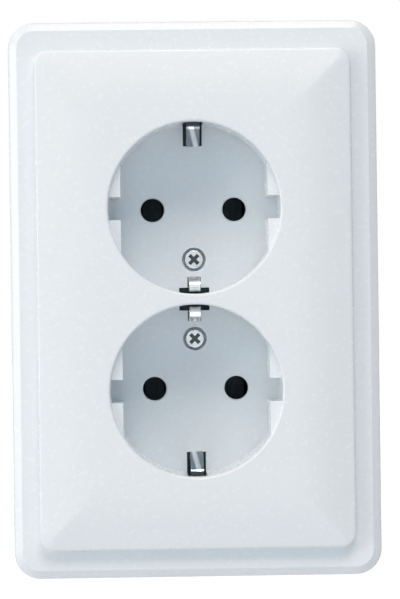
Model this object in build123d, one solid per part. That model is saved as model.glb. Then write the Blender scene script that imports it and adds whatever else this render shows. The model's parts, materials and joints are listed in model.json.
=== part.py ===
"""Double earthed wall socket for one round flush box.

Millimetres. X points right, Z up and the front faces -Y. The wall's face is the plane Y = 0, so a height
above the wall is -Y and a depth inside the box is +Y. The origin is midway between the two box screws.
"""

import os
from math import atan2, cos, degrees, radians, sin, tan

from build123d import *

os.makedirs("parts", exist_ok=True)

# Plate
plate_width = 84.0
plate_height = 127.0
plate_corner = 6.0
plate_bevel_width = 2.0
plate_bevel_height = 1.2
plate_edge_round = 1.0
plate_band_height = 18.0
plate_wall = 2.2

# Raised panel with four sloping sides
panel_margin_side = 6.0
panel_margin_end = 6.6
panel_corner = 3.4
panel_step = 2.5
panel_edge_round = 0.8
panel_wall = 2.0
slope_run = 15.6
slope_angle = 15.0
slope_start_pull = 7.0
slope_end_pull = 6.0

# Wells
rim_height = 23.0
well_spacing = 41.5
well_radius = 19.55
well_depth = 17.5
well_wall = 1.7
well_floor = 2.0
rim_round = 0.5
flat_half_width = 16.7
ledge_drop = 1.5
notch_width = 5.3
pin_spacing = 19.0
pin_hole_radius = 2.75
pin_hole_lead_in = 0.3

# Stiffening ribs behind the plate
rib_thickness = 1.2
rib_back_height = 6.0
rib_end_x = 10.0

# Openings for the earth clips, radii counted from a well's centre
outer_slot_width = 4.4
outer_slot_inner_radius = 14.8
outer_slot_top_height = 19.6
inner_bar_width = 7.0
inner_bar_radius = 18.1
inner_stem_width = 3.1
inner_stem_radius = 15.6

# Cover screws
cover_screw_radius = 1.5
cover_screw_z = 9.2
cover_screw_head_radius = 2.2
cover_screw_head_height = 1.6
cover_screw_recess_radius = 2.75
cover_screw_recess_depth = 1.75
cover_screw_length = 12.0
cover_screw_head_round = 0.3
cover_screw_recess_arm = 0.85
cover_screw_recess_reach = 1.45
cover_screw_cross_depth = 1.2
cover_boss_radius = 3.4
screw_clearance = 0.25

# Support frame, a folded steel sheet
frame_thickness = 1.2
frame_width = 70.4
frame_height = 92.0
frame_corner = 5.0
frame_opening_gap = 0.3
box_screw_spacing = 60.0
box_screw_hole_radius = 1.75
box_screw_slot_length = 6.5
frame_rivet_x = 17.0
frame_rivet_z = 5.0
frame_rivet_radius = 1.1
rivet_head_height = 0.7
rivet_head_overhang = 0.7
rivet_depth_in_base = 5.0
rivet_clearance = 0.05

# Socket base, the moulded block inside the box
base_radius = 28.5
base_half_width = 19.0
base_depth = 22.0
platform_half_width = 14.8
platform_half_height = 25.4
platform_corner = 6.0
chamber_width = 7.6
chamber_height = 7.0
trench_width = 7.8
trench_end_gap = 0.5

# Contact bars
bar_thickness = 0.8
bar_width = 7.0
bar_end_margin = 0.25
bar_depth = 14.0
blade_thickness = 0.7
blade_height = 6.0
blade_mouth_depth = 4.4
blade_mouth_half_gap = 3.15
blade_pinch_depth = 7.4
blade_pinch_half_gap = 2.6
blade_root_half_gap = 3.1

# Terminals behind the contact bars and the earth strap
terminal_height = 12.0
tab_length = 5.7
tab_thickness = 0.8
tab_slot_gap = 0.1
wire_offset = 1.3
wire_hole_radius = 1.45
wire_hole_z = 3.2
spring_thickness = 0.4
spring_height = 11.0
spring_back_offset = 5.9
spring_bend = 0.5
spring_foot = 1.4
spring_tip_offset = 2.2
spring_tip_rise = 3.0
spring_end_gap = 1.2
spring_root_gap = 0.7
lever_near_offset = 2.8
lever_far_offset = 5.3
lever_half_height = 2.5
lever_flange_half_height = 3.5
lever_flange_thickness = 0.8
lever_proud = 2.4
lever_round = 0.4
lever_clearance = 0.15
earth_chamber_depth = 8.0
earth_chamber_far_offset = 6.6

# Rear cover
rear_cover_thickness = 2.0
rear_pad_inset = 0.5
rear_screw_z = 24.5
rear_screw_radius = 1.1
rear_screw_head_radius = 2.2
rear_screw_head_height = 1.2
rear_screw_head_round = 0.4
rear_screw_length = 8.0
rear_screw_recess_arm = 0.6
rear_screw_recess_reach = 1.4
rear_screw_cross_depth = 0.6

# Earth strap and clips
strap_thickness = 0.8
strap_width = 8.0
strap_end_margin = 0.6
clip_thickness = 0.6
outer_clip_width = 3.0
inner_clip_width = 2.5
clip_bend = 0.9
clip_leg_gap = 0.75
outer_clip_top_height = 18.2
outer_clip_peak_radius = 14.6
outer_clip_foot_length = 3.4
outer_clip_fold_inset = 1.2
inner_clip_leg_inset = 0.85
inner_clip_top_height = 17.2
inner_clip_peak_radius = 15.8
inner_clip_foot_length = 3.3
inner_clip_fold_reach = 1.9
inner_clip_fold_drop = 0.9
clip_peak_height = 11.0
clip_tip_height = 6.6
clip_tip_return = 1.5
clip_rivet_radius = 0.8
clip_rivet_head_radius = 1.2
clip_rivet_head_height = 0.6
clip_rivet_pocket_gap = 0.2
strap_rivet_z = 30.5
strap_rivet_radius = 1.5

# Threaded inserts for the cover screws
insert_outer_radius = 2.2
insert_start = 1.0
insert_length = 6.0

# Spreading claws, one each side, set off from the box screws
claw_pivot_x = 21.4
claw_pivot_depth = 2.6
claw_z = 9.0
claw_pin_radius = 1.0
claw_pin_gap = 0.05
claw_inner_gap = 7.0
claw_sheet = 1.0
claw_length = 14.6
claw_width = 4.4
claw_web_start = 7.0
claw_tooth = 1.2
claw_eye_radius = 1.8
claw_back_offset = 1.6
claw_toe_offset = 1.8
claw_shoulder = 1.7
claw_bevel = 0.5
ear_gap = 0.3
ear_thickness = 1.2
ear_depth = 4.8
ear_half_width = 2.0
claw_arm = 3.5
nut_drop = 3.7
nut_half_width = 2.1
nut_height = 3.0
nut_side_gap = 0.3
trunnion_radius = 1.0
trunnion_gap = 0.4
claw_screw_radius = 1.5
claw_screw_end_depth = 8.2
claw_screw_head_radius = 2.7
claw_screw_head_height = 1.8
claw_screw_thread_gap = 0.05
claw_screw_recess_arm = 0.6
claw_screw_recess_reach = 1.7
claw_screw_cross_depth = 0.9
claw_swing = 24.0

# Making
cut_over = 1.0
fuse_lap = 0.1
height_tolerance = 0.01

# Worked out from the sizes above
panel_width = plate_width - 2 * panel_margin_side
panel_height = plate_height - 2 * panel_margin_end
panel_edge_height = plate_band_height + panel_step
well_z = well_spacing / 2
pin_x = pin_spacing / 2
floor_front_height = rim_height - well_depth
floor_back_height = floor_front_height - well_floor
strap_front_height = frame_thickness + strap_thickness
clip_foot_height = strap_front_height + clip_thickness / 2
rear_depth = base_depth + rear_cover_thickness
claw_screw_x = claw_pivot_x + claw_arm
rivet_from_leg = clip_bend + clip_rivet_head_radius + rivet_clearance
bar_height = well_spacing + blade_height + 2 * bar_end_margin
trench_height = bar_height + 2 * trench_end_gap
spring_root_depth = bar_depth + bar_thickness + spring_root_gap


def block(x_low, x_high, y_low, y_high, z_low, z_high):
    """A box between two corners."""
    size = (x_high - x_low, y_high - y_low, z_high - z_low)
    middle = ((x_low + x_high) / 2, (y_low + y_high) / 2, (z_low + z_high) / 2)
    return Pos(*middle) * Box(*size)


def rod(radius, y_low, y_high, x=0.0, z=0.0):
    """A cylinder along Y."""
    return Pos(x, (y_low + y_high) / 2, z) * Rot(90, 0, 0) * Cylinder(radius, y_high - y_low)


def cross_rod(radius, z_low, z_high, x, y):
    """A cylinder along Z."""
    return Pos(x, y, (z_low + z_high) / 2) * Cylinder(radius, z_high - z_low)


def slab(width, height, corner, low, high):
    """A rounded rectangle standing on the wall, from one height to another."""
    outline = RectangleRounded(width, height, corner)
    return extrude(Plane.XZ.offset(low) * outline, amount=high - low)


def mirrored(shape, plane):
    """A shape and its mirror image."""
    return [shape, mirror(shape, about=plane)]


def slope_curve(start, direction, edge_height, top_height):
    """The panel's side in section: steep at the panel's edge and level at the top."""
    pull_x = slope_start_pull * cos(radians(slope_angle))
    pull_y = slope_start_pull * sin(radians(slope_angle))
    return Bezier(
        (start, -edge_height),
        (start + direction * pull_x, -edge_height - pull_y),
        (start + direction * (slope_run - slope_end_pull), -top_height),
        (start + direction * slope_run, -top_height),
    )


def arch_face(half_width, edge_height, top_height):
    """The panel's section across, from one side to the other, on the plane Z = 0."""
    left = slope_curve(-half_width, 1, edge_height, top_height)
    right = slope_curve(half_width, -1, edge_height, top_height)
    lines = [
        Line((-half_width, 0), (-half_width, -edge_height)),
        left,
        Line((-half_width + slope_run, -top_height), (half_width - slope_run, -top_height)),
        right,
        Line((half_width, -edge_height), (half_width, 0)),
        Line((half_width, 0), (-half_width, 0)),
    ]
    return make_face(lines)


def corner_post(corner, edge_height, top_height):
    """A panel corner, which carries the slope round a quarter turn."""
    curve = slope_curve(corner, -1, edge_height, top_height)
    section = make_face(
        [
            curve,
            Line((corner - slope_run, -top_height), (corner - slope_run, 0)),
            Line((corner - slope_run, 0), (corner, 0)),
            Line((corner, 0), (corner, -edge_height)),
        ]
    )
    half = split(section, bisect_by=Plane.YZ, keep=Keep.TOP)
    return revolve(half, axis=Axis.Y)


def pillow(width, height, corner, edge_height, top_height):
    """The raised panel: four sloping sides that meet in mitres, with rounded corners."""
    half_w = width / 2
    half_h = height / 2
    across = extrude(arch_face(half_w, edge_height, top_height), amount=half_h, both=True)
    along = Rot(0, 90, 0) * extrude(arch_face(half_h, edge_height, top_height), amount=half_w, both=True)
    body = across & along
    inner_w = half_w - corner
    inner_h = half_h - corner
    post = corner_post(corner, edge_height, top_height)
    for side in (-1, 1):
        for end in (-1, 1):
            x_pair = sorted((side * inner_w, side * half_w))
            z_pair = sorted((end * inner_h, end * half_h))
            corner_block = block(*x_pair, -top_height, 0, *z_pair)
            body = body - corner_block + (Pos(side * inner_w, 0, end * inner_h) * post & corner_block)
    return body


def edges_at_height(shape, height):
    """The edges that lie wholly at one height above the wall."""
    found = []
    for edge in shape.edges():
        box = edge.bounding_box()
        if abs(box.min.Y + height) < height_tolerance and abs(box.max.Y + height) < height_tolerance:
            found.append(edge)
    return found


def well_space(z):
    """The space inside one well, with its two side flats, their ledges and their notches."""
    over_rim = rim_height + cut_over
    round_space = rod(well_radius, -over_rim, -floor_front_height, 0, z)
    between_flats = block(-flat_half_width, flat_half_width, -over_rim, 0, z - well_radius, z + well_radius)
    notches = block(-well_radius, well_radius, -over_rim, 0, z - notch_width / 2, z + notch_width / 2)
    ledge_height = rim_height - ledge_drop
    z_low = z - well_radius
    z_high = z + well_radius
    above_ledges = block(-well_radius, well_radius, -over_rim, -ledge_height, z_low, z_high)
    return round_space & (between_flats + notches + above_ledges)


def well_openings(end):
    """Everything cut through one well's floor and wall. end is 1 for the upper well, -1 for the lower."""
    z = end * well_z
    front = floor_front_height
    over = floor_front_height + cut_over
    back = floor_back_height - cut_over
    lead = pin_hole_lead_in
    cuts = []
    for x in (-pin_x, pin_x):
        cuts.append(rod(pin_hole_radius, -over, -back, x, z))
        cone = Cone(pin_hole_radius + lead, pin_hole_radius, lead)
        cuts.append(Pos(x, -front + lead / 2, z) * Rot(-90, 0, 0) * cone)
    outer_z = sorted((z + end * outer_slot_inner_radius, z + end * (well_radius + well_wall + cut_over)))
    half = outer_slot_width / 2
    cuts.append(block(-half, half, -outer_slot_top_height, -back, *outer_z))
    bar_z = sorted((z - end * inner_bar_radius, z - end * well_radius))
    cuts.append(block(-inner_bar_width / 2, inner_bar_width / 2, -over, -back, *bar_z))
    stem_z = sorted((z - end * inner_stem_radius, z - end * (inner_bar_radius + fuse_lap)))
    cuts.append(block(-inner_stem_width / 2, inner_stem_width / 2, -over, -back, *stem_z))
    return cuts


def cover_plate():
    """Plate, panel and both wells, moulded in one piece."""
    plate = slab(plate_width, plate_height, plate_corner, 0, plate_band_height)
    face = plate.faces().sort_by(Axis.Y)[0]
    plate = chamfer(face.edges(), plate_bevel_width, plate_bevel_height, reference=face)
    plate = fillet(edges_at_height(plate, plate_band_height - plate_bevel_height), plate_edge_round)
    panel = pillow(panel_width, panel_height, panel_corner, panel_edge_height, rim_height)
    panel = fillet(edges_at_height(panel, panel_edge_height), panel_edge_round)
    outside = plate + panel

    inner_corner = plate_corner - plate_wall
    roof = plate_band_height - plate_wall
    inner_width = plate_width - 2 * plate_wall
    inner_height = plate_height - 2 * plate_wall
    plate_hollow = slab(inner_width, inner_height, inner_corner, -cut_over, roof)
    panel_hollow = pillow(
        panel_width - 2 * panel_wall,
        panel_height - 2 * panel_wall,
        panel_corner - panel_wall,
        panel_edge_height - panel_wall,
        rim_height - panel_wall,
    )
    hollow = plate_hollow + panel_hollow

    cup_radius = well_radius + well_wall
    cups = []
    for z in (-well_z, well_z):
        cups.append(rod(cup_radius, -rim_height, -floor_back_height, 0, z))
    seat = cover_screw_recess_depth
    for z in (-cover_screw_z, cover_screw_z):
        cups.append(rod(cover_boss_radius, -floor_front_height, -strap_front_height, 0, z))
    for rib in ribs():
        cups.append(rib & hollow)

    cover = outside - hollow + [cup & outside for cup in cups]
    for z in (-well_z, well_z):
        cover -= well_space(z)
    rims = [edge for edge in edges_at_height(cover, rim_height) if edge.geom_type == GeomType.CIRCLE]
    cover = fillet(rims, rim_round)
    for end in (-1, 1):
        cover -= well_openings(end)
        z = end * cover_screw_z
        recess_front = -floor_front_height - cut_over
        cover -= rod(cover_screw_recess_radius, recess_front, -floor_front_height + seat, 0, z)
        cover -= rod(cover_screw_radius + screw_clearance, -floor_front_height, 0, 0, z)
    return cover


def ribs():
    """Ribs that tie the wells to the plate's walls, seen only from behind."""
    half = rib_thickness / 2
    reach_z = plate_height / 2
    reach_x = plate_width / 2
    clear_z = well_z + well_radius
    found = []
    for x in (-rib_end_x, rib_end_x):
        for z_low, z_high in ((-reach_z, -clear_z + half), (clear_z - half, reach_z)):
            found.append(block(x - half, x + half, -rim_height, -rib_back_height, z_low, z_high))
    well_edge = well_radius - half
    for z in (-well_z, 0.0, well_z):
        start = well_edge if z else well_edge - well_wall
        for x_low, x_high in ((-reach_x, -start), (start, reach_x)):
            found.append(block(x_low, x_high, -rim_height, -rib_back_height, z - half, z + half))
    return found


def support_frame():
    """Steel sheet behind the plate: box screw slots, claw screw holes and the claws' folded ears."""
    frame = slab(frame_width, frame_height, frame_corner, 0, frame_thickness)
    opening_width = 2 * (platform_half_width + frame_opening_gap)
    opening_height = 2 * (platform_half_height + frame_opening_gap)
    frame -= slab(opening_width, opening_height, platform_corner, -cut_over, frame_thickness + cut_over)
    slot = SlotOverall(box_screw_slot_length, 2 * box_screw_hole_radius)
    for side in (-1, 1):
        place = Pos(side * box_screw_spacing / 2, 0, 0)
        frame -= place * extrude(Plane.XZ * slot, amount=3 * frame_thickness, both=True)
        hole = claw_screw_radius + screw_clearance
        frame -= rod(hole, -2 * frame_thickness, frame_thickness, side * claw_screw_x, side * claw_z)
        for z in (-frame_rivet_z, frame_rivet_z):
            hole = frame_rivet_radius + rivet_clearance
            frame -= rod(hole, -2 * frame_thickness, frame_thickness, side * frame_rivet_x, z)
        frame += turned(claw_ears(), side)
    for end in (-1, 1):
        hole = strap_rivet_radius + rivet_clearance
        frame -= rod(hole, -2 * frame_thickness, frame_thickness, 0, end * strap_rivet_z)
        hole = clip_rivet_head_radius + clip_rivet_pocket_gap
        frame -= rod(hole, -2 * frame_thickness, frame_thickness, 0, end * outer_rivet_z())
    return frame


def turned(shapes, side):
    """Shapes of the right-hand claw, or the same turned half round to the left."""
    if side > 0:
        return shapes
    return [Rot(0, 180, 0) * shape for shape in shapes]


def claw_ears():
    """Two ears that hold the right claw's pin."""
    inner = claw_inner_gap / 2 + claw_sheet + ear_gap
    ears = []
    for end in (-1, 1):
        z_pair = sorted((claw_z + end * inner, claw_z + end * (inner + ear_thickness)))
        x_low = claw_pivot_x - ear_half_width
        x_high = claw_pivot_x + ear_half_width
        ear = block(x_low, x_high, -frame_thickness / 2, ear_depth, *z_pair)
        ears.append(ear - cross_rod(claw_pin_radius, *z_pair, claw_pivot_x, claw_pivot_depth))
    return ears


def claw_pin():
    """The right claw's pin, held in both ears."""
    half = claw_inner_gap / 2 + claw_sheet + ear_gap + ear_thickness
    return cross_rod(claw_pin_radius, claw_z - half, claw_z + half, claw_pivot_x, claw_pivot_depth)


def claw():
    """The right claw: two toothed cheeks and the web that joins them, folded from one sheet."""
    tooth_tip = claw_width + claw_tooth
    outline = Polyline(
        (-claw_back_offset, 0.0),
        (-claw_back_offset + claw_bevel, claw_web_start + claw_shoulder),
        (claw_toe_offset, claw_length),
        (claw_width, claw_length),
        (tooth_tip, claw_length - claw_tooth),
        (claw_width, claw_length - 2 * claw_tooth),
        (tooth_tip, claw_length - 3 * claw_tooth),
        (claw_width, claw_length - 4 * claw_tooth),
        (claw_width, claw_web_start + claw_bevel),
        (claw_arm + claw_shoulder, nut_drop + claw_shoulder + claw_bevel),
        (claw_arm + claw_shoulder, nut_drop - claw_bevel),
        (claw_toe_offset, -claw_eye_radius / 2),
        close=True,
    )
    cheek_face = make_face(outline) + Circle(claw_eye_radius) - Circle(claw_pin_radius + claw_pin_gap)
    rest_angle = atan2(nut_drop, claw_arm)
    near = claw_arm / cos(rest_angle - radians(claw_swing))
    far = claw_arm / cos(rest_angle)
    middle = (near + far) / 2
    slot = SlotCenterToCenter(far - near, 2 * (trunnion_radius + trunnion_gap))
    slot_place = Pos(middle * cos(rest_angle), middle * sin(rest_angle)) * Rot(0, 0, degrees(rest_angle))
    cheek_face -= slot_place * slot
    place = Pos(claw_pivot_x, claw_pivot_depth, claw_z)
    inner = claw_inner_gap / 2
    upper = Pos(0, 0, inner) * extrude(cheek_face, amount=claw_sheet)
    lower = Pos(0, 0, -inner) * extrude(cheek_face, amount=-claw_sheet)
    reach = inner + fuse_lap
    web = block(claw_width - claw_sheet, claw_width, claw_web_start, claw_length, -reach, reach)
    return place * (upper + lower + web)


def claw_screw():
    """The right claw's screw, with its head on the frame."""
    head_back = -frame_thickness
    head_front = head_back - claw_screw_head_height
    head = rod(claw_screw_head_radius, head_front, head_back, claw_screw_x, claw_z)
    shank = rod(claw_screw_radius, head_back, claw_screw_end_depth, claw_screw_x, claw_z)
    recess = cross_recess(claw_screw_recess_arm, claw_screw_recess_reach, claw_screw_cross_depth)
    return head + shank - Pos(claw_screw_x, head_front, claw_z) * recess


def claw_nut():
    """The right claw's nut: a block on the screw with a stub axle in each cheek."""
    y = claw_pivot_depth + nut_drop
    half_z = claw_inner_gap / 2 - nut_side_gap
    x_low = claw_screw_x - nut_half_width
    x_high = claw_screw_x + nut_half_width
    body = block(x_low, x_high, y - nut_height / 2, y + nut_height / 2, claw_z - half_z, claw_z + half_z)
    stub_end = claw_inner_gap / 2 + claw_sheet
    stubs = cross_rod(trunnion_radius, claw_z - stub_end, claw_z + stub_end, claw_screw_x, y)
    bore_radius = claw_screw_radius + claw_screw_thread_gap
    bore = rod(bore_radius, y - nut_height, y + nut_height, claw_screw_x, claw_z)
    return body + stubs - bore


def cross_recess(arm_width, reach, depth):
    """A cross to cut into a screw head whose face is at Y = 0."""
    return Box(2 * reach, 2 * depth, arm_width) + Box(arm_width, 2 * depth, 2 * reach)


def cover_screw(end):
    """A cheese-head screw through a well's floor into its insert."""
    z = end * cover_screw_z
    under_head = -floor_front_height + cover_screw_recess_depth
    head_front = under_head - cover_screw_head_height
    head = rod(cover_screw_head_radius, head_front, under_head, 0, z)
    shank = rod(cover_screw_radius, under_head, under_head + cover_screw_length, 0, z)
    dome_edge = edges_at_height(head, -head_front)
    head = fillet(dome_edge, cover_screw_head_round)
    recess = cross_recess(cover_screw_recess_arm, cover_screw_recess_reach, cover_screw_cross_depth)
    return head + shank - Pos(0, head_front, z) * Rot(0, 45, 0) * recess


def screw_insert(end):
    """A threaded brass sleeve in the base for one cover screw."""
    z = end * cover_screw_z
    insert_end = insert_start + insert_length
    sleeve = rod(insert_outer_radius, insert_start, insert_end, 0, z)
    return sleeve - rod(cover_screw_radius + rivet_clearance, insert_start, insert_end, 0, z)


def base_outline(y_low, y_high):
    """The block's outline: a disc with two flat sides."""
    disc = rod(base_radius, y_low, y_high)
    return disc & block(-base_half_width, base_half_width, y_low, y_high, -base_radius, base_radius)


def socket_base():
    """Insulating block behind the frame, with a platform that fills the frame's opening."""
    front = -frame_thickness - cut_over
    over = base_depth + cut_over
    width = 2 * platform_half_width
    height = 2 * platform_half_height
    platform = slab(width, height, platform_corner, -fuse_lap, frame_thickness)
    base = base_outline(0, base_depth) + (platform & base_outline(-frame_thickness, fuse_lap))
    for side in (-1, 1):
        x = side * pin_x
        half = trench_width / 2
        base -= block(x - half, x + half, bar_depth, over, -trench_height / 2, trench_height / 2)
        for z in (-well_z, well_z):
            half_x = chamber_width / 2
            half_z = chamber_height / 2
            base -= block(x - half_x, x + half_x, front, bar_depth + fuse_lap, z - half_z, z + half_z)
        for z in (-frame_rivet_z, frame_rivet_z):
            hole = frame_rivet_radius + rivet_clearance
            base -= rod(hole, front, rivet_depth_in_base, side * frame_rivet_x, z)
    half_z = terminal_height / 2
    tab_inner = strap_width / 2 - tab_thickness
    far = tab_inner - earth_chamber_far_offset
    near = strap_width / 2 + tab_slot_gap
    base -= block(far, near, earth_chamber_depth, over, -half_z, half_z)
    tab_slot = terminal_height / 4 + tab_slot_gap
    slot_end = earth_chamber_depth + fuse_lap
    base -= block(tab_inner - tab_slot_gap, near, front, slot_end, -tab_slot, tab_slot)
    shank_end = cover_screw_length - floor_front_height + cover_screw_recess_depth
    for end in (-1, 1):
        z = end * cover_screw_z
        base -= rod(cover_screw_radius + screw_clearance, front, shank_end + screw_clearance, 0, z)
        base -= rod(insert_outer_radius, insert_start, insert_start + insert_length, 0, z)
        pocket = clip_rivet_head_radius + clip_rivet_pocket_gap
        pocket_end = -frame_thickness + clip_rivet_head_height + clip_rivet_pocket_gap
        base -= rod(pocket, front, pocket_end, 0, end * inner_rivet_z())
        rear_start = base_depth - rear_screw_length
        base -= rod(rear_screw_radius + rivet_clearance, rear_start, over, 0, end * rear_screw_z)
    return base


def terminal_face(side):
    """x of the face that the wires of a contact bar are pressed against, and the way they press."""
    return side * (pin_x + bar_width / 2 - tab_thickness)


def contact_bar(side):
    """One pole: a strip with a terminal tab and a pair of gripping blades behind each pin hole."""
    x = side * pin_x
    half = bar_width / 2
    bar = block(x - half, x + half, bar_depth, bar_depth + bar_thickness, -bar_height / 2, bar_height / 2)
    tab_x = sorted((terminal_face(side), terminal_face(side) + side * tab_thickness))
    tab_z = terminal_height / 2
    bar += block(*tab_x, bar_depth, bar_depth + bar_thickness + tab_length, -tab_z, tab_z)
    root = bar_depth + bar_thickness / 2
    blade_line = Spline(
        (blade_mouth_half_gap, blade_mouth_depth),
        (blade_pinch_half_gap, blade_pinch_depth),
        (blade_root_half_gap, root),
        tangents=[(-1, 3), (0, 1)],
    )
    blade_face = trace(blade_line, line_width=blade_thickness)
    blade = extrude(blade_face, amount=blade_height / 2, both=True)
    for z in (-well_z, well_z):
        for blade_copy in mirrored(blade, Plane.YZ):
            bar += Pos(x, 0, z) * blade_copy
    return bar


def clamp_spring(face_x, side):
    """A bent leaf that presses two wires against a terminal's face."""
    back = face_x - side * spring_back_offset
    path = FilletPolyline(
        (back, base_depth - spring_end_gap),
        (back, spring_root_depth),
        (back + side * spring_foot, spring_root_depth),
        (face_x - side * spring_tip_offset, spring_root_depth + spring_tip_rise),
        radius=spring_bend,
    )
    return extrude(trace(path, line_width=spring_thickness), amount=spring_height / 2, both=True)


def release_lever(face_x, side):
    """A push button through the rear cover that lets go of two wires."""
    x_pair = sorted((face_x - side * lever_far_offset, face_x - side * lever_near_offset))
    flange_front = base_depth - lever_flange_thickness
    stem = block(*x_pair, flange_front, rear_depth + lever_proud, -lever_half_height, lever_half_height)
    top_edges = stem.faces().sort_by(Axis.Y)[-1].edges()
    stem = fillet(top_edges, lever_round)
    half = lever_flange_half_height
    return stem + block(*x_pair, flange_front, base_depth, -half, half)


def rear_cover():
    """Plate that closes the base, with a wire hole pair and a button window for each terminal."""
    cover = base_outline(base_depth, rear_depth)
    front = base_depth - cut_over
    over = rear_depth + cut_over
    for face_x, side in terminals():
        for z in (-wire_hole_z, wire_hole_z):
            cover -= rod(wire_hole_radius, front, over, face_x - side * wire_offset, z)
        far = face_x - side * (lever_far_offset + lever_clearance)
        near = face_x - side * (lever_near_offset - lever_clearance)
        half = lever_half_height + lever_clearance
        cover -= block(*sorted((far, near)), front, over, -half, half)
    pad = bar_width / 2 - rear_pad_inset
    for x in (-pin_x, pin_x):
        for z in (-well_z, well_z):
            cover += block(x - pad, x + pad, bar_depth + bar_thickness, base_depth, z - pad, z + pad)
    for end in (-1, 1):
        cover -= rod(rear_screw_radius + rivet_clearance, front, over, 0, end * rear_screw_z)
    return cover


def terminals():
    """The live, earth and neutral terminals: x of the pressed face, and the side the wires are pressed to."""
    return [
        (terminal_face(-1), -1),
        (strap_width / 2 - tab_thickness, 1),
        (terminal_face(1), 1),
    ]


def rear_screw(end):
    """A pan-head screw that holds the rear cover."""
    z = end * rear_screw_z
    head = rod(rear_screw_head_radius, rear_depth, rear_depth + rear_screw_head_height, 0, z)
    head = fillet(head.faces().sort_by(Axis.Y)[-1].edges(), rear_screw_head_round)
    shank = rod(rear_screw_radius, rear_depth - rear_screw_length, rear_depth, 0, z)
    recess = cross_recess(rear_screw_recess_arm, rear_screw_recess_reach, rear_screw_cross_depth)
    return head + shank - Pos(0, rear_depth + rear_screw_head_height, z) * recess


def inner_leg_radius():
    """Radius of an inner clip's leg from its well's centre."""
    return well_radius - inner_clip_leg_inset


def outer_leg_radius():
    """Radius of an outer clip's leg, outside the well's wall."""
    return well_radius + well_wall + clip_leg_gap


def inner_rivet_z():
    """Height of the rivet in an inner clip's foot."""
    return well_z - inner_leg_radius() + rivet_from_leg


def outer_rivet_z():
    """Height of the rivet in an outer clip's foot."""
    return well_z + outer_leg_radius() + rivet_from_leg


def clip_solid(points, end, width):
    """A strip bent along points given as (height on Z, depth on Y), the same for both wells."""
    path = FilletPolyline(*[(end * z, y) for z, y in points], radius=clip_bend)
    strip = mirror(trace(path, line_width=clip_thickness), Plane.XZ)
    face = Plane((0, 0, 0), x_dir=(0, 0, 1), z_dir=(1, 0, 0)) * strip
    return extrude(face, amount=width / 2, both=True)


def outer_clip(end):
    """Earth clip at a well's far side: it stands outside the wall and folds in through it."""
    leg = well_z + outer_leg_radius()
    peak = well_z + outer_clip_peak_radius
    points = [
        (leg + outer_clip_foot_length, -clip_foot_height),
        (leg, -clip_foot_height),
        (leg, -outer_clip_top_height),
        (well_z + well_radius - outer_clip_fold_inset, -outer_clip_top_height),
        (peak, -clip_peak_height),
        (peak + clip_tip_return, -clip_tip_height),
    ]
    return clip_solid(points, end, outer_clip_width)


def inner_clip(end):
    """Earth clip beside the wall between the wells: it stands in the floor's opening."""
    leg = well_z - inner_leg_radius()
    peak = well_z - inner_clip_peak_radius
    points = [
        (leg + inner_clip_foot_length, -clip_foot_height),
        (leg, -clip_foot_height),
        (leg, -inner_clip_top_height),
        (leg + inner_clip_fold_reach, -inner_clip_top_height + inner_clip_fold_drop),
        (peak, -clip_peak_height),
        (peak - clip_tip_return, -clip_tip_height),
    ]
    return clip_solid(points, end, inner_clip_width)


def earth_strap():
    """Strip across the frame that carries all four clips, with a tab down into the earth terminal."""
    half = strap_width / 2
    reach = well_z + outer_leg_radius() + outer_clip_foot_length + strap_end_margin
    strap = block(-half, half, -strap_front_height, -frame_thickness, -reach, reach)
    tab_half = terminal_height / 4
    tab_end = bar_depth + bar_thickness + tab_length
    strap += block(half - tab_thickness, half, -frame_thickness, tab_end, -tab_half, tab_half)
    front = -strap_front_height - cut_over
    for end in (-1, 1):
        for z in (inner_rivet_z(), outer_rivet_z()):
            strap -= rod(clip_rivet_radius + rivet_clearance, front, 0, 0, end * z)
        strap -= rod(strap_rivet_radius + rivet_clearance, front, 0, 0, end * strap_rivet_z)
        strap -= rod(cover_screw_radius + screw_clearance, front, 0, 0, end * cover_screw_z)
    return strap


def clip_rivets():
    """Four small rivets that fix the clips' feet to the strap."""
    front = strap_front_height + clip_thickness
    solids = []
    for z in (inner_rivet_z(), outer_rivet_z()):
        for end in (-1, 1):
            head = rod(clip_rivet_head_radius, -front - clip_rivet_head_height, -front, 0, end * z)
            shank = rod(clip_rivet_radius, -front, -frame_thickness, 0, end * z)
            tail_end = -frame_thickness + clip_rivet_head_height
            tail = rod(clip_rivet_head_radius, -frame_thickness, tail_end, 0, end * z)
            solids.append(head + shank + tail)
    return solids


def strap_rivets():
    """Two rivets that fix the strap to the frame, flush at the back."""
    front = strap_front_height
    solids = []
    for end in (-1, 1):
        z = end * strap_rivet_z
        head = rod(strap_rivet_radius + rivet_head_overhang, -front - rivet_head_height, -front, 0, z)
        solids.append(head + rod(strap_rivet_radius, -front, 0, 0, z))
    return solids


def frame_rivets():
    """Four rivets that fix the frame to the base."""
    solids = []
    for x in (-frame_rivet_x, frame_rivet_x):
        for z in (-frame_rivet_z, frame_rivet_z):
            head_radius = frame_rivet_radius + rivet_head_overhang
            head = rod(head_radius, -frame_thickness - rivet_head_height, -frame_thickness, x, z)
            solids.append(head + rod(frame_rivet_radius, -frame_thickness, rivet_depth_in_base, x, z))
    return solids


def with_rivet_hole(clip, z):
    """A clip with the hole in its foot."""
    front = strap_front_height + clip_thickness
    back = strap_front_height - fuse_lap
    return clip - rod(clip_rivet_radius + rivet_clearance, -front - fuse_lap, -back, 0, z)


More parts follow.
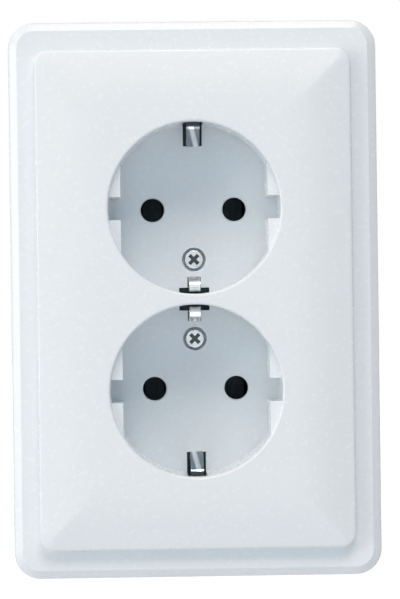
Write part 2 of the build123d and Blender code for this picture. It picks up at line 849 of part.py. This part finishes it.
def all_nodes():
    """Every sub-part by name, each as a list of solids."""
    nodes = {
        "cover_plate": [cover_plate()],
        "cover_screw_upper": [cover_screw(1)],
        "cover_screw_lower": [cover_screw(-1)],
        "cover_screw_inserts": [screw_insert(1), screw_insert(-1)],
        "support_frame": [support_frame()],
        "frame_rivets": frame_rivets(),
        "socket_base": [socket_base()],
        "rear_cover": [rear_cover()],
        "rear_cover_screws": [rear_screw(1), rear_screw(-1)],
        "live_contact_bar": [contact_bar(-1)],
        "neutral_contact_bar": [contact_bar(1)],
        "earth_strap": [earth_strap()],
        "earth_clip_upper_outer": [with_rivet_hole(outer_clip(1), outer_rivet_z())],
        "earth_clip_upper_inner": [with_rivet_hole(inner_clip(1), inner_rivet_z())],
        "earth_clip_lower_inner": [with_rivet_hole(inner_clip(-1), -inner_rivet_z())],
        "earth_clip_lower_outer": [with_rivet_hole(outer_clip(-1), -outer_rivet_z())],
        "clip_rivets": clip_rivets(),
        "strap_rivets": strap_rivets(),
    }
    for name, (face_x, side) in zip(("live", "earth", "neutral"), terminals()):
        nodes[f"clamp_spring_{name}"] = [clamp_spring(face_x, side)]
        nodes[f"release_lever_{name}"] = [release_lever(face_x, side)]
    for name, side in (("right", 1), ("left", -1)):
        nodes[f"claw_{name}"] = turned([claw()], side)
        nodes[f"claw_pin_{name}"] = turned([claw_pin()], side)
        nodes[f"claw_screw_{name}"] = turned([claw_screw()], side)
        nodes[f"claw_nut_{name}"] = turned([claw_nut()], side)
    return nodes


def write_nodes():
    """One STEP file per sub-part."""
    for name, shapes in all_nodes().items():
        solids = []
        for shape in shapes:
            solids.extend(shape.solids())
        part = solids[0] if len(solids) == 1 else Compound(children=solids)
        export_step(part, f"parts/{name}.step")
    nut_travel = nut_drop - claw_arm * tan(atan2(nut_drop, claw_arm) - radians(claw_swing))
    print(f"claw nut travel {nut_travel:.3f} mm")


write_nodes()
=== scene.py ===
"""Looks of a white double earthed wall socket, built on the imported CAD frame."""

import json
import math

import bpy
from mathutils import Matrix, Vector


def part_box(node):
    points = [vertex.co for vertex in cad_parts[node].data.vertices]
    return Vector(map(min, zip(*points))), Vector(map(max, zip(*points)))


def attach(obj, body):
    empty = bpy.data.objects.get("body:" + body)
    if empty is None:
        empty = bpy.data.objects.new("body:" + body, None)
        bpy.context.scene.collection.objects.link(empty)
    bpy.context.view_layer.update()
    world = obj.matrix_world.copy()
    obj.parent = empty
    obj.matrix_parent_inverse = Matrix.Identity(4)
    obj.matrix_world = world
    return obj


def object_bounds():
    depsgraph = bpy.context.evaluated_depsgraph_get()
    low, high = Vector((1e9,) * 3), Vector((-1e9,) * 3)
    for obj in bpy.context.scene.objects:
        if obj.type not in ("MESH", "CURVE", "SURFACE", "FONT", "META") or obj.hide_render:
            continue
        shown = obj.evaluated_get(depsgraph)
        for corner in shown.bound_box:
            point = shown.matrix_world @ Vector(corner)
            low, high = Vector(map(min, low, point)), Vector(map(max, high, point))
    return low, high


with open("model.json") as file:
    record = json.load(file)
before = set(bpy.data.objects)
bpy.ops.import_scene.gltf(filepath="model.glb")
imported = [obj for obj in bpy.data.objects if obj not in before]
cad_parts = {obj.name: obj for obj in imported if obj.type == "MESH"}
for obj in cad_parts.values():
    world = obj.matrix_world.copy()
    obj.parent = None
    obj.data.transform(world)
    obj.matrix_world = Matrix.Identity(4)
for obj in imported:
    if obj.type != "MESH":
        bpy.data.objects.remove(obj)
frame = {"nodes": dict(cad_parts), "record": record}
CAD_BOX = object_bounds()

MM = 0.001
WHITE = (1, 1, 1, 1)

# Camera, fitted to the photograph: a long lens almost straight in front of the wells' rims
RIM_FACE_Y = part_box("cover_plate")[0].y
CAMERA_TARGET = Vector((1.01 * MM, RIM_FACE_Y, -0.11 * MM))
CAMERA_YAW = math.radians(-1.0)
CAMERA_RISE = math.radians(0.08)
CAMERA_ROLL = math.radians(-0.76)
CAMERA_DISTANCE = 600.0 * MM
CAMERA_LENS = 159.5
CAMERA_CLIP = (0.01, 100)
SENSOR_WIDTH = 36.0

# Claw screw threads: rolled ridges on the plain shanks
THREAD_PITCH = 0.7 * MM
THREAD_ROOT_RADIUS = 1.505 * MM
THREAD_CREST_RADIUS = 1.6 * MM
THREAD_START = 0.3 * MM
THREAD_TIP_CHAMFER = 0.5 * MM
THREAD_SIDES = 32
THREAD_STEPS_PER_TURN = 8

# Noise patterns: features per metre, octaves and, for drawn marks, how strong each finer octave is
GLOSS_FLOW = (60, 3)
GLOSS_GRAIN = (900, 5)
GLOSS_RELIEF = (500, 3)
MATT_FLOW = (120, 4)
MATT_GRAIN = (4000, 3)
METAL_CLOUDS = (300, 4)
DRAWN_MARKS = (1500, 6, 0.6)
SCREW_CLOUDS = (900, 4)
SCREW_MARKS = (2500, 5)
DEFAULT_OCTAVE_STRENGTH = 0.55

# The middle of a noise pattern's range, which colours and numbers are spread over
PATTERN_LOW = 0.3
PATTERN_HIGH = 0.7

# Marks are stretched along the way that a metal was rolled or drawn
NOT_STRETCHED = (1, 1, 1)
ROLLED_ALONG_Z = (1, 1, 0.08)
DRAWN_ALONG_Z = (1, 1, 0.1)
DRAWN_ALONG_Y = (1, 0.1, 1)
DRAWN_ALONG_Y_AND_Z = (1, 0.1, 0.1)

# Relief: its height and its strength
GLOSS_BUMP = (0.000125 * MM, 0.3)
MATT_BUMP = (0.02 * MM, 0.5)
METAL_BUMP = (0.006 * MM, 0.5)
SCREW_BUMP = (0.01 * MM, 0.6)

# Roughness: how far it strays from a finish's own, or its range
GLOSS_STRAY = 0.008
MATT_STRAY = 0.06
METAL_SMOOTHER = 0.07
METAL_ROUGHER = 0.09
SCREW_ROUGHNESS = (0.22, 0.4)
CLIP_ROUGHNESS = (0.2, 0.36)
PLASTIC_IOR = 1.5

# Cover screws, with painted shade in their recesses and down their sides, behind their faces
SCREW_DARKER = (0.50, 0.54, 0.57, 1)
SCREW_LIGHTER = (0.70, 0.73, 0.75, 1)
RECESS_SHADE_START = 0.15 * MM
RECESS_SHADE_END = 0.5 * MM
# Colour of the painted shade in the screws' recesses and down their sides
RECESS_PAINTED_SHADE = (0.06, 0.08, 0.095, 1)

# Outer earth clips as seen through their slots, with a painted highlight along a slanting stripe, painted
# shade beside it and painted shade past the fold
CLIP_FACE_Z = 37.6 * MM
CLIP_STRIPE_SLANT = 0.28
CLIP_STRIPE_EDGE = (0.3 * MM, 0.8 * MM)
CLIP_FOLD_OFFSET = 1.5 * MM
CLIP_FOLD_FADE = 0.3 * MM
# Colours of the painted highlight, the painted shade beside it and the painted shade past the fold
CLIP_PAINTED_HIGHLIGHT = (0.90, 0.94, 0.96, 1)
CLIP_PAINTED_SIDE_SHADE = (0.29, 0.34, 0.37, 1)
CLIP_PAINTED_FOLD_SHADE = (0.05, 0.06, 0.07, 1)

# Panel mitres, softened near their lines and between two distances from the panel's edge
PANEL_MARGIN_SIDE = 6.0 * MM
PANEL_MARGIN_END = 6.6 * MM
MITRE_RADIUS = 1.8 * MM
MITRE_OUTER_FADE = (1.6 * MM, 3.2 * MM)
MITRE_INNER_FADE = (12.0 * MM, 14.0 * MM)
MITRE_SIDE_FADE = (2.6 * MM, 4.0 * MM)

# Stage, in metres
FLOOR_DROP = 0.45
FLOOR_SIZE = 40.0
FLOOR_COLOUR = (0.86, 0.87, 0.88, 1)
FLOOR_ROUGHNESS = 0.9
FLOOR_CAMERA_GLOW = 0.9
WORLD_COLOUR = (0.85, 0.915, 1.0, 1)
WORLD_STRENGTH = 0.295

# Lamps: position and size in metres, power in watts, colour, and whether gloss and metal mirror it
LAMPS = {
    "key_top": ((0.1, -1.0, 1.5), (1.0, 0.8), 17.4, (1.0, 0.91, 0.84), True),
    "left_fill": ((-1.7, -0.9, 0.15), (0.8, 0.8), 9.4, (0.98, 1.0, 0.98), True),
    "upper_left": ((-1.3, -1.1, 1.1), (0.8, 0.8), 6.0, (1.0, 0.80, 0.63), True),
    "front_fill": ((0.0, -2.2, 0.2), (1.0, 1.0), 3.6, (0.39, 0.72, 1.0), False),
    "behind": ((0.7, 1.5, 0.8), (1.2, 1.2), 13.0, (1.0, 0.96, 0.93), True),
}


def new_material(name):
    """An empty node material with its output and a Principled shader."""
    material = bpy.data.materials.new(name)
    material.use_nodes = True
    tree = material.node_tree
    tree.nodes.clear()
    output = tree.nodes.new("ShaderNodeOutputMaterial")
    shader = tree.nodes.new("ShaderNodeBsdfPrincipled")
    tree.links.new(shader.outputs["BSDF"], output.inputs["Surface"])
    return material, tree, shader


def new_metal(name):
    """A new material that is metal all over."""
    material, tree, shader = new_material(name)
    shader.inputs["Metallic"].default_value = 1.0
    return material, tree, shader


def noise(tree, scale, octaves, octave_strength=DEFAULT_OCTAVE_STRENGTH, stretch=NOT_STRETCHED):
    """A noise pattern in the part's own coordinates, at features per metre."""
    coords = tree.nodes.new("ShaderNodeTexCoord")
    mapping = tree.nodes.new("ShaderNodeMapping")
    mapping.inputs["Scale"].default_value = stretch
    texture = tree.nodes.new("ShaderNodeTexNoise")
    texture.inputs["Scale"].default_value = scale
    texture.inputs["Detail"].default_value = octaves
    texture.inputs["Roughness"].default_value = octave_strength
    tree.links.new(coords.outputs["Object"], mapping.inputs["Vector"])
    tree.links.new(mapping.outputs["Vector"], texture.inputs["Vector"])
    return texture.outputs["Fac"]


def ramp(tree, source, darker, lighter):
    """Colours from darker to lighter over a pattern."""
    node = tree.nodes.new("ShaderNodeValToRGB")
    ends = zip(node.color_ramp.elements, (PATTERN_LOW, PATTERN_HIGH), (darker, lighter))
    for element, position, colour in ends:
        element.position = position
        element.color = colour
    tree.links.new(source, node.inputs["Fac"])
    return node.outputs["Color"]


def spread(tree, source, low, high):
    """A pattern mapped to the numbers from low to high."""
    node = tree.nodes.new("ShaderNodeMapRange")
    node.inputs["From Min"].default_value = PATTERN_LOW
    node.inputs["From Max"].default_value = PATTERN_HIGH
    node.inputs["To Min"].default_value = low
    node.inputs["To Max"].default_value = high
    tree.links.new(source, node.inputs["Value"])
    return node.outputs["Result"]


def bump(tree, shader, source, height, strength, normal=None):
    """Relief of a real height, in metres, on the surface's own normals or on the given ones."""
    node = tree.nodes.new("ShaderNodeBump")
    node.inputs["Strength"].default_value = strength
    node.inputs["Distance"].default_value = height
    tree.links.new(source, node.inputs["Height"])
    if normal:
        tree.links.new(normal, node.inputs["Normal"])
    tree.links.new(node.outputs["Normal"], shader.inputs["Normal"])


def place(tree):
    """X, Y and Z in the part's own frame."""
    coords = tree.nodes.new("ShaderNodeTexCoord")
    axes = tree.nodes.new("ShaderNodeSeparateXYZ")
    tree.links.new(coords.outputs["Object"], axes.inputs["Vector"])
    return axes.outputs


def maths(tree, operation, first, second=0.0):
    """One sum with sockets or numbers."""
    node = tree.nodes.new("ShaderNodeMath")
    node.operation = operation
    for value, socket in zip((first, second), node.inputs):
        if isinstance(value, (int, float)):
            socket.default_value = value
        else:
            tree.links.new(value, socket)
    return node.outputs["Value"]


def step_between(tree, source, start, end):
    """0 before start and 1 after end, with a smooth rise between, or a fall where end comes first."""
    node = tree.nodes.new("ShaderNodeMapRange")
    node.interpolation_type = "SMOOTHSTEP"
    node.inputs["From Min"].default_value = min(start, end)
    node.inputs["From Max"].default_value = max(start, end)
    node.inputs["To Min"].default_value = 0.0 if start < end else 1.0
    node.inputs["To Max"].default_value = 1.0 if start < end else 0.0
    tree.links.new(source, node.inputs["Value"])
    return node.outputs["Result"]


def blend_colours(tree, factor, first, second):
    """From the first colour to the second. Each is a socket or a colour."""
    node = tree.nodes.new("ShaderNodeMix")
    node.data_type = "RGBA"
    tree.links.new(factor, node.inputs["Factor"])
    for value, key in ((first, "A"), (second, "B")):
        socket = next(entry for entry in node.inputs if entry.name == key and entry.type == "RGBA")
        if isinstance(value, tuple):
            socket.default_value = value
        else:
            tree.links.new(value, socket)
    return next(entry for entry in node.outputs if entry.type == "RGBA")


def soft_mitres(tree):
    """Normals that round the panel's four mitres off, away from its edge and its level top."""
    axes = place(tree)
    panel_half_x = CAD_BOX[1].x - PANEL_MARGIN_SIDE
    panel_half_z = CAD_BOX[1].z - PANEL_MARGIN_END
    from_side = maths(tree, "SUBTRACT", panel_half_x, maths(tree, "ABSOLUTE", axes["X"]))
    from_end = maths(tree, "SUBTRACT", panel_half_z, maths(tree, "ABSOLUTE", axes["Z"]))
    from_edge = maths(tree, "MINIMUM", from_side, from_end)
    inside = step_between(tree, from_edge, *MITRE_OUTER_FADE)
    outside = step_between(tree, from_edge, MITRE_INNER_FADE[1], MITRE_INNER_FADE[0])
    from_mitre = maths(tree, "ABSOLUTE", maths(tree, "SUBTRACT", from_side, from_end))
    beside = step_between(tree, from_mitre, MITRE_SIDE_FADE[1], MITRE_SIDE_FADE[0])
    along = maths(tree, "MULTIPLY", inside, outside)
    node = tree.nodes.new("ShaderNodeBevel")
    radius = maths(tree, "MULTIPLY", maths(tree, "MULTIPLY", along, beside), MITRE_RADIUS)
    tree.links.new(radius, node.inputs["Radius"])
    return node.outputs["Normal"]


def gloss_plastic(name, darker, lighter, roughness):
    """Bright moulded plastic with a faint flow in its colour and a nearly flat skin."""
    material, tree, shader = new_material(name)
    flow = noise(tree, *GLOSS_FLOW)
    tree.links.new(ramp(tree, flow, darker, lighter), shader.inputs["Base Color"])
    grain = noise(tree, *GLOSS_GRAIN)
    roughnesses = spread(tree, grain, roughness - GLOSS_STRAY, roughness + GLOSS_STRAY)
    tree.links.new(roughnesses, shader.inputs["Roughness"])
    bump(tree, shader, noise(tree, *GLOSS_RELIEF), *GLOSS_BUMP, soft_mitres(tree))
    shader.inputs["IOR"].default_value = PLASTIC_IOR
    return material


def matt_plastic(name, darker, lighter, roughness):
    """Moulded plastic with a fine spark-eroded grain."""
    material, tree, shader = new_material(name)
    flow = noise(tree, *MATT_FLOW)
    tree.links.new(ramp(tree, flow, darker, lighter), shader.inputs["Base Color"])
    grain = noise(tree, *MATT_GRAIN)
    roughnesses = spread(tree, grain, roughness - MATT_STRAY, roughness + MATT_STRAY)
    tree.links.new(roughnesses, shader.inputs["Roughness"])
    bump(tree, shader, grain, *MATT_BUMP)
    return material


def metal(name, darker, lighter, roughness, stretch=NOT_STRETCHED):
    """Plated or rolled metal with fine drawn marks."""
    material, tree, shader = new_metal(name)
    marks = noise(tree, *DRAWN_MARKS, stretch)
    clouds = noise(tree, *METAL_CLOUDS)
    tree.links.new(ramp(tree, clouds, darker, lighter), shader.inputs["Base Color"])
    roughnesses = spread(tree, marks, roughness - METAL_SMOOTHER, roughness + METAL_ROUGHER)
    tree.links.new(roughnesses, shader.inputs["Roughness"])
    bump(tree, shader, marks, *METAL_BUMP)
    return material


def screw_metal(name, face_y):
    """Bright steel on a screw's face, with painted shade in its recess and down its side, where nothing
    shines.
    """
    material, tree, shader = new_metal(name)
    # Painted shade: past a depth behind the face, the steel takes a dark colour.
    painted_shade_mask = step_between(tree, place(tree)["Y"], face_y + RECESS_SHADE_START, face_y + RECESS_SHADE_END)
    face = ramp(tree, noise(tree, *SCREW_CLOUDS), SCREW_DARKER, SCREW_LIGHTER)
    tree.links.new(blend_colours(tree, painted_shade_mask, face, RECESS_PAINTED_SHADE), shader.inputs["Base Color"])
    marks = noise(tree, *SCREW_MARKS)
    tree.links.new(spread(tree, marks, *SCREW_ROUGHNESS), shader.inputs["Roughness"])
    bump(tree, shader, marks, *SCREW_BUMP)
    return material


def clip_with_painted_light(name, middle_z):
    """Nickel with a painted highlight along a slanting stripe, painted shade beside it and painted shade
    past its fold.
    """
    material, tree, shader = new_metal(name)
    axes = place(tree)
    stripe_x = maths(tree, "MULTIPLY", maths(tree, "SUBTRACT", middle_z, axes["Z"]), CLIP_STRIPE_SLANT)
    away = maths(tree, "ABSOLUTE", maths(tree, "SUBTRACT", axes["X"], stripe_x))
    # Painted highlight along the slanting stripe, painted shade beside it.
    painted_highlight_mask = step_between(tree, away, CLIP_STRIPE_EDGE[1], CLIP_STRIPE_EDGE[0])
    face = blend_colours(tree, painted_highlight_mask, CLIP_PAINTED_SIDE_SHADE, CLIP_PAINTED_HIGHLIGHT)
    from_middle = maths(tree, "ABSOLUTE", axes["Z"])
    fold_start = abs(middle_z) + CLIP_FOLD_OFFSET
    # Painted shade past the fold.
    fold = step_between(tree, from_middle, fold_start, fold_start + CLIP_FOLD_FADE)
    tree.links.new(blend_colours(tree, fold, face, CLIP_PAINTED_FOLD_SHADE), shader.inputs["Base Color"])
    marks = noise(tree, *DRAWN_MARKS, DRAWN_ALONG_Y_AND_Z)
    tree.links.new(spread(tree, marks, *CLIP_ROUGHNESS), shader.inputs["Roughness"])
    bump(tree, shader, marks, *METAL_BUMP)
    return material


def make_materials():
    """The finish of each material slot in the record."""
    # Each recipe is a kind, its two colours, its roughness and, for some metals, its stretch.
    # Brass is nearly black, as painted shade: the contacts behind the photo's dark pin holes are made of
    # it.
    # The earth strap, the claw nuts and the cover screws' inserts share it.
    recipes = {
        "cover_white": (gloss_plastic, (0.81, 0.855, 0.885, 1), (0.82, 0.865, 0.892, 1), 0.27),
        "screw_steel": (metal, (0.58, 0.61, 0.63, 1), (0.70, 0.72, 0.74, 1), 0.27),
        "zinc_plated_steel": (metal, (0.55, 0.57, 0.60, 1), (0.68, 0.70, 0.72, 1), 0.34, ROLLED_ALONG_Z),
        "nickel_plated_strip": (
            metal, (0.66, 0.69, 0.72, 1), (0.80, 0.82, 0.84, 1), 0.22, DRAWN_ALONG_Y_AND_Z
        ),
        "spring_steel": (metal, (0.40, 0.41, 0.43, 1), (0.52, 0.53, 0.55, 1), 0.3, DRAWN_ALONG_Y),
        # Painted shade: brass is given a bluish near-black colour instead of its own, for the shade in the
        # holes and slots.
        "brass": (metal, (0.040, 0.062, 0.074, 1), (0.068, 0.094, 0.108, 1), 0.45, DRAWN_ALONG_Z),
        "base_grey": (matt_plastic, (0.020, 0.022, 0.024, 1), (0.034, 0.036, 0.039, 1), 0.55),
        "rear_cover_grey": (matt_plastic, (0.13, 0.14, 0.15, 1), (0.17, 0.18, 0.19, 1), 0.55),
        "lever_orange": (matt_plastic, (0.66, 0.12, 0.015, 1), (0.78, 0.17, 0.025, 1), 0.42),
    }
    return {slot: make(slot, *values) for slot, (make, *values) in recipes.items()}


def dress_nodes(materials):
    """Gives each CAD node the finish of its slot, and the cover screws and outer clips their own."""
    for part in frame["record"]["subparts"]:
        node = frame["nodes"][part["node"]]
        node.data.materials.clear()
        node.data.materials.append(materials[part["material_slot"]])
    for end, sign in (("upper", 1), ("lower", -1)):
        screw = f"cover_screw_{end}"
        frame["nodes"][screw].data.materials[0] = screw_metal(screw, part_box(screw)[0].y)
        clip = f"earth_clip_{end}_outer"
        frame["nodes"][clip].data.materials[0] = clip_with_painted_light(clip, sign * CLIP_FACE_Z)


def thread_radius(along, angle, length):
    """Radius of a rolled thread at a place along its shank. It runs out at both ends."""
    phase = (along / THREAD_PITCH - angle / (2 * math.pi)) % 1.0
    ridge = 1 - abs(2 * phase - 1)
    fade = min(1.0, along / THREAD_TIP_CHAMFER, (length - along) / THREAD_TIP_CHAMFER)
    return THREAD_ROOT_RADIUS + (THREAD_CREST_RADIUS - THREAD_ROOT_RADIUS) * ridge * max(fade, 0.0)


def make_thread(side, material):
    """The ridges on one claw screw's shank, from the frame to the screw's end."""
    low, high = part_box(f"claw_screw_{side}")
    axis_x, axis_z = (low.x + high.x) / 2, (low.z + high.z) / 2
    length = high.y - THREAD_START
    steps = math.ceil(length / THREAD_PITCH * THREAD_STEPS_PER_TURN)
    points = []
    for step in range(steps + 1):
        along = length * step / steps
        for column in range(THREAD_SIDES):
            angle = 2 * math.pi * column / THREAD_SIDES
            radius = thread_radius(along, angle, length)
            x = axis_x + radius * math.cos(angle)
            z = axis_z + radius * math.sin(angle)
            points.append((x, THREAD_START + along, z))
    faces = []
    for step in range(steps):
        for column in range(THREAD_SIDES):
            here = step * THREAD_SIDES
            there = here + THREAD_SIDES
            after = (column + 1) % THREAD_SIDES
            faces.append((here + column, there + column, there + after, here + after))
    mesh = bpy.data.meshes.new(f"claw_screw_thread_{side}")
    mesh.from_pydata(points, [], faces)
    mesh.shade_smooth()
    thread = bpy.data.objects.new(mesh.name, mesh)
    bpy.context.scene.collection.objects.link(thread)
    mesh.materials.append(material)
    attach(thread, f"claw_screw_{side}")


def shows_background(tree):
    """1 for the camera, straight or by way of gloss or glass, and 0 for the light that falls on things."""
    path = tree.nodes.new("ShaderNodeLightPath")
    shown = path.outputs["Is Camera Ray"]
    for kind in ("Is Glossy Ray", "Is Transmission Ray"):
        shown = maths(tree, "MAXIMUM", shown, path.outputs[kind])
    return shown


def make_floor():
    """A pale floor well below the part, which keeps a shadow and shows white to the camera."""
    low = CAD_BOX[0].z - FLOOR_DROP
    mesh = bpy.data.meshes.new("floor")
    half = FLOOR_SIZE / 2
    corners = [(-half, -half, low), (half, -half, low), (half, half, low), (-half, half, low)]
    mesh.from_pydata(corners, [], [(0, 1, 2, 3)])
    floor = bpy.data.objects.new("floor", mesh)
    bpy.context.scene.collection.objects.link(floor)
    material, tree, shader = new_material("floor_pale")
    shader.inputs["Base Color"].default_value = FLOOR_COLOUR
    shader.inputs["Roughness"].default_value = FLOOR_ROUGHNESS
    shader.inputs["Specular IOR Level"].default_value = 0.0
    shader.inputs["Emission Color"].default_value = WHITE
    glow = maths(tree, "MULTIPLY", shows_background(tree), FLOOR_CAMERA_GLOW)
    tree.links.new(glow, shader.inputs["Emission Strength"])
    mesh.materials.append(material)


def make_world():
    """Even studio surroundings, white where the camera looks past the part."""
    world = bpy.data.worlds.new("studio")
    world.use_nodes = True
    tree = world.node_tree
    tree.nodes.clear()
    output = tree.nodes.new("ShaderNodeOutputWorld")
    light = tree.nodes.new("ShaderNodeBackground")
    light.inputs["Color"].default_value = WORLD_COLOUR
    light.inputs["Strength"].default_value = WORLD_STRENGTH
    shown = tree.nodes.new("ShaderNodeBackground")
    shown.inputs["Color"].default_value = WHITE
    shown.inputs["Strength"].default_value = 1.0
    mix = tree.nodes.new("ShaderNodeMixShader")
    tree.links.new(shows_background(tree), mix.inputs["Fac"])
    tree.links.new(light.outputs["Background"], mix.inputs[1])
    tree.links.new(shown.outputs["Background"], mix.inputs[2])
    tree.links.new(mix.outputs["Shader"], output.inputs["Surface"])
    bpy.context.scene.world = world


def area_light(name, position, size, power, colour, mirrored):
    """A soft box that looks at the part's middle."""
    data = bpy.data.lights.new(name, "AREA")
    data.shape = "RECTANGLE"
    data.size, data.size_y = size
    data.energy = power
    data.color = colour
    lamp = bpy.data.objects.new(name, data)
    bpy.context.scene.collection.objects.link(lamp)
    lamp.location = Vector(position)
    lamp.visible_glossy = mirrored
    lamp.rotation_mode = "QUATERNION"
    lamp.rotation_quaternion = (-Vector(position)).to_track_quat("-Z", "Y")


def make_lights():
    """A large soft key from above, one from the left, one between, a weak front fill and one behind."""
    for name, values in LAMPS.items():
        area_light(name, *values)


def make_camera():
    """The photograph's view."""
    back = Vector(
        (
            math.sin(CAMERA_YAW) * math.cos(CAMERA_RISE),
            -math.cos(CAMERA_YAW) * math.cos(CAMERA_RISE),
            math.sin(CAMERA_RISE),
        )
    )
    data = bpy.data.cameras.new("camera")
    data.lens = CAMERA_LENS
    data.sensor_width = SENSOR_WIDTH
    data.clip_start, data.clip_end = CAMERA_CLIP
    camera = bpy.data.objects.new("camera", data)
    bpy.context.scene.collection.objects.link(camera)
    right = Vector((0, 0, 1)).cross(back).normalized()
    up = back.cross(right)
    cos_roll, sin_roll = math.cos(CAMERA_ROLL), math.sin(CAMERA_ROLL)
    rolled_right = cos_roll * right + sin_roll * up
    rolled_up = cos_roll * up - sin_roll * right
    turn = Matrix((rolled_right, rolled_up, back)).transposed()
    camera.rotation_mode = "QUATERNION"
    camera.rotation_quaternion = turn.to_quaternion()
    camera.location = CAMERA_TARGET + back * CAMERA_DISTANCE
    bpy.context.scene.camera = camera


def set_view():
    """Plain colours, as written."""
    bpy.context.scene.view_settings.view_transform = "Standard"


finishes = make_materials()
dress_nodes(finishes)
for side in ("left", "right"):
    make_thread(side, finishes["screw_steel"])
make_floor()
make_world()
make_lights()
make_camera()
set_view()
